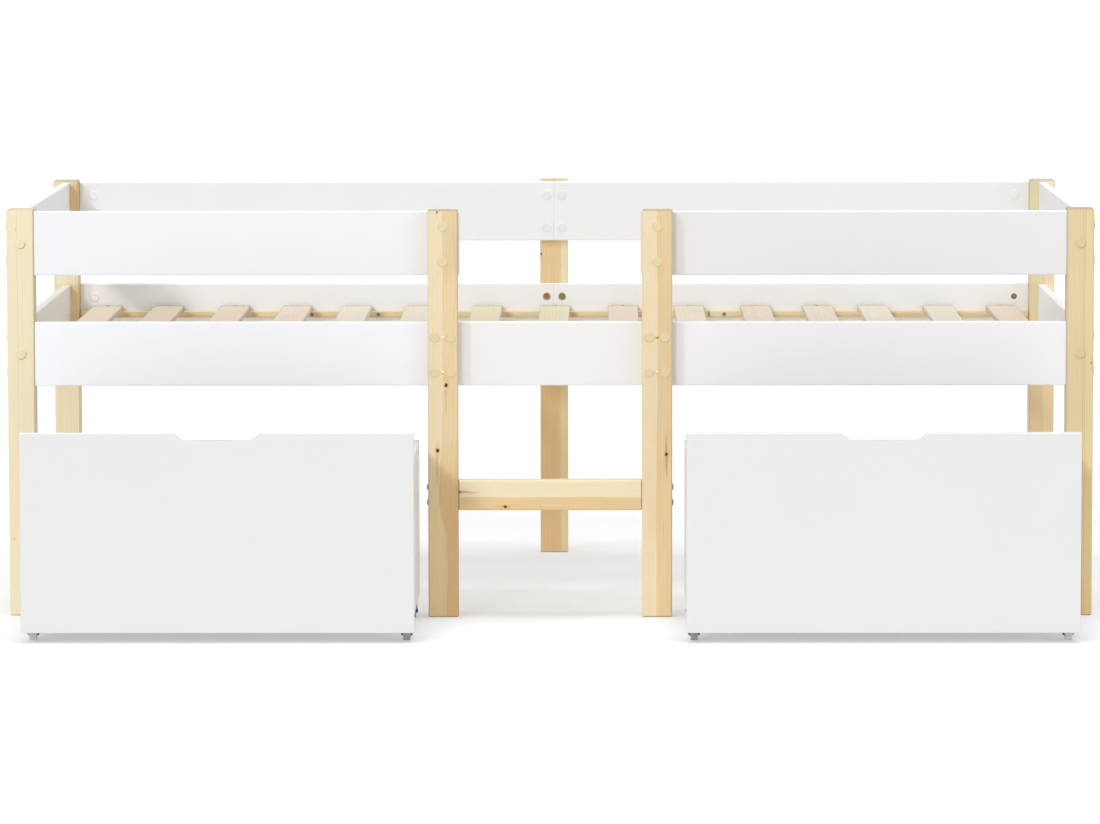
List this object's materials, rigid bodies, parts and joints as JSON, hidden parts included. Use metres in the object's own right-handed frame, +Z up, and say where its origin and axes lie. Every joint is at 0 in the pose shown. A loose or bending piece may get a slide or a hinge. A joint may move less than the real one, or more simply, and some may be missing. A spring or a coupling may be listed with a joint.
{
  "type": "loft bed",
  "caption": "Low single loft bed with pine posts, white guard rails, a slatted deck, a short middle ladder and rolling underbed drawers.",
  "frame": {"origin": "on the floor under the middle of the box over the whole bed with its drawers rolled out", "axes": "+X along the bed to the viewer's right, +Y from the ladder side to the back, +Z up"},
  "size_m": [1.983, 1.3866, 0.745],
  "materials": {
    "corner_post_pine": "clear-lacquered knotty pine, straight grain along the post",
    "ladder_pine": "clear-lacquered pine with darker heartwood stripe and small knots",
    "back_post_pine": "clear-lacquered pine, warmer heartwood",
    "batten_pine": "planed pine",
    "slat_pine": "planed raw pine",
    "rail_white": "white satin paint on solid wood",
    "drawer_white": "white satin paint on fibreboard",
    "zinc_steel": "zinc-plated steel",
    "brass_plated_steel": "yellow-passivated steel",
    "pine_cap": "pine-coloured plastic",
    "white_cap": "white plastic",
    "wheel_plastic": "light grey nylon"
  },
  "bodies": {
    "frame": {"corner_post_front_left": "corner_post_pine", "corner_post_front_right": "corner_post_pine", "corner_post_back_left": "corner_post_pine", "corner_post_back_right": "corner_post_pine", "ladder_post_left": "ladder_pine", "ladder_post_right": "ladder_pine", "ladder_rung": "ladder_pine", "post_back_middle": "back_post_pine", "guard_rail_front_left": "rail_white", "guard_rail_front_right": "rail_white", "guard_rail_back_left": "rail_white", "guard_rail_back_right": "rail_white", "guard_rail_end_left": "rail_white", "guard_rail_end_right": "rail_white", "side_rail_front_left": "rail_white", "side_rail_front_middle": "rail_white", "side_rail_front_right": "rail_white", "side_rail_back_left": "rail_white", "side_rail_back_right": "rail_white", "end_rail_left": "rail_white", "end_rail_right": "rail_white", "slat_battens_front": "batten_pine", "slat_battens_back": "batten_pine", "slats_left": "slat_pine", "slats_middle": "slat_pine", "slats_right": "slat_pine", "corner_bolts": "zinc_steel", "barrel_nuts": "brass_plated_steel", "post_bolts": "zinc_steel", "sleeve_nuts": "brass_plated_steel", "rung_bolts": "zinc_steel", "joint_studs": "brass_plated_steel", "pine_bolt_caps": "pine_cap", "white_bolt_caps": "white_cap", "slat_and_batten_screws": "zinc_steel"},
    "drawer_left": {"drawer_left_front": "drawer_white", "drawer_left_side_outer": "drawer_white", "drawer_left_side_inner": "drawer_white", "drawer_left_back": "drawer_white", "drawer_left_base": "drawer_white", "drawer_left_cam_fittings": "zinc_steel", "drawer_left_screws": "zinc_steel", "drawer_left_castor_forks": "zinc_steel", "drawer_left_castor_axles": "zinc_steel"},
    "drawer_right": {"drawer_right_front": "drawer_white", "drawer_right_side_outer": "drawer_white", "drawer_right_side_inner": "drawer_white", "drawer_right_back": "drawer_white", "drawer_right_base": "drawer_white", "drawer_right_cam_fittings": "zinc_steel", "drawer_right_screws": "zinc_steel", "drawer_right_castor_forks": "zinc_steel", "drawer_right_castor_axles": "zinc_steel"},
    "drawer_left_wheel_front_outer": {"drawer_left_wheel_front_outer": "wheel_plastic"},
    "drawer_left_wheel_front_inner": {"drawer_left_wheel_front_inner": "wheel_plastic"},
    "drawer_left_wheel_back_outer": {"drawer_left_wheel_back_outer": "wheel_plastic"},
    "drawer_left_wheel_back_inner": {"drawer_left_wheel_back_inner": "wheel_plastic"},
    "drawer_right_wheel_front_outer": {"drawer_right_wheel_front_outer": "wheel_plastic"},
    "drawer_right_wheel_front_inner": {"drawer_right_wheel_front_inner": "wheel_plastic"},
    "drawer_right_wheel_back_outer": {"drawer_right_wheel_back_outer": "wheel_plastic"},
    "drawer_right_wheel_back_inner": {"drawer_right_wheel_back_inner": "wheel_plastic"}
  },
  "joints": [
    {"name": "drawer_left_slide", "type": "slide", "parent": "frame", "child": "drawer_left", "axis": [0, -1, 0], "range_m": [-0.38, 0.3]},
    {"name": "drawer_right_slide", "type": "slide", "parent": "frame", "child": "drawer_right", "axis": [0, -1, 0], "range_m": [-0.38, 0.3]},
    {"name": "drawer_left_wheel_front_outer_spin", "type": "hinge", "parent": "drawer_left", "child": "drawer_left_wheel_front_outer", "pos_m": [-0.915, -0.65125, 0.0125], "axis": [1, 0, 0], "continuous": true},
    {"name": "drawer_left_wheel_front_inner_spin", "type": "hinge", "parent": "drawer_left", "child": "drawer_left_wheel_front_inner", "pos_m": [-0.252, -0.65125, 0.0125], "axis": [1, 0, 0], "continuous": true},
    {"name": "drawer_left_wheel_back_outer_spin", "type": "hinge", "parent": "drawer_left", "child": "drawer_left_wheel_back_outer", "pos_m": [-0.915, -0.33925, 0.0125], "axis": [1, 0, 0], "continuous": true},
    {"name": "drawer_left_wheel_back_inner_spin", "type": "hinge", "parent": "drawer_left", "child": "drawer_left_wheel_back_inner", "pos_m": [-0.252, -0.33925, 0.0125], "axis": [1, 0, 0], "continuous": true},
    {"name": "drawer_right_wheel_front_outer_spin", "type": "hinge", "parent": "drawer_right", "child": "drawer_right_wheel_front_outer", "pos_m": [0.9205, -0.65125, 0.0125], "axis": [1, 0, 0], "continuous": true},
    {"name": "drawer_right_wheel_front_inner_spin", "type": "hinge", "parent": "drawer_right", "child": "drawer_right_wheel_front_inner", "pos_m": [0.2575, -0.65125, 0.0125], "axis": [1, 0, 0], "continuous": true},
    {"name": "drawer_right_wheel_back_outer_spin", "type": "hinge", "parent": "drawer_right", "child": "drawer_right_wheel_back_outer", "pos_m": [0.9205, -0.33925, 0.0125], "axis": [1, 0, 0], "continuous": true},
    {"name": "drawer_right_wheel_back_inner_spin", "type": "hinge", "parent": "drawer_right", "child": "drawer_right_wheel_back_inner", "pos_m": [0.2575, -0.33925, 0.0125], "axis": [1, 0, 0], "continuous": true}
  ],
  "couplings": [
    {"joint": "drawer_left_wheel_front_outer_spin", "follows": "drawer_left_slide", "rad_per_m": 80},
    {"joint": "drawer_left_wheel_front_inner_spin", "follows": "drawer_left_slide", "rad_per_m": 80},
    {"joint": "drawer_left_wheel_back_outer_spin", "follows": "drawer_left_slide", "rad_per_m": 80},
    {"joint": "drawer_left_wheel_back_inner_spin", "follows": "drawer_left_slide", "rad_per_m": 80},
    {"joint": "drawer_right_wheel_front_outer_spin", "follows": "drawer_right_slide", "rad_per_m": 80},
    {"joint": "drawer_right_wheel_front_inner_spin", "follows": "drawer_right_slide", "rad_per_m": 80},
    {"joint": "drawer_right_wheel_back_outer_spin", "follows": "drawer_right_slide", "rad_per_m": 80},
    {"joint": "drawer_right_wheel_back_inner_spin", "follows": "drawer_right_slide", "rad_per_m": 80}
  ]
}
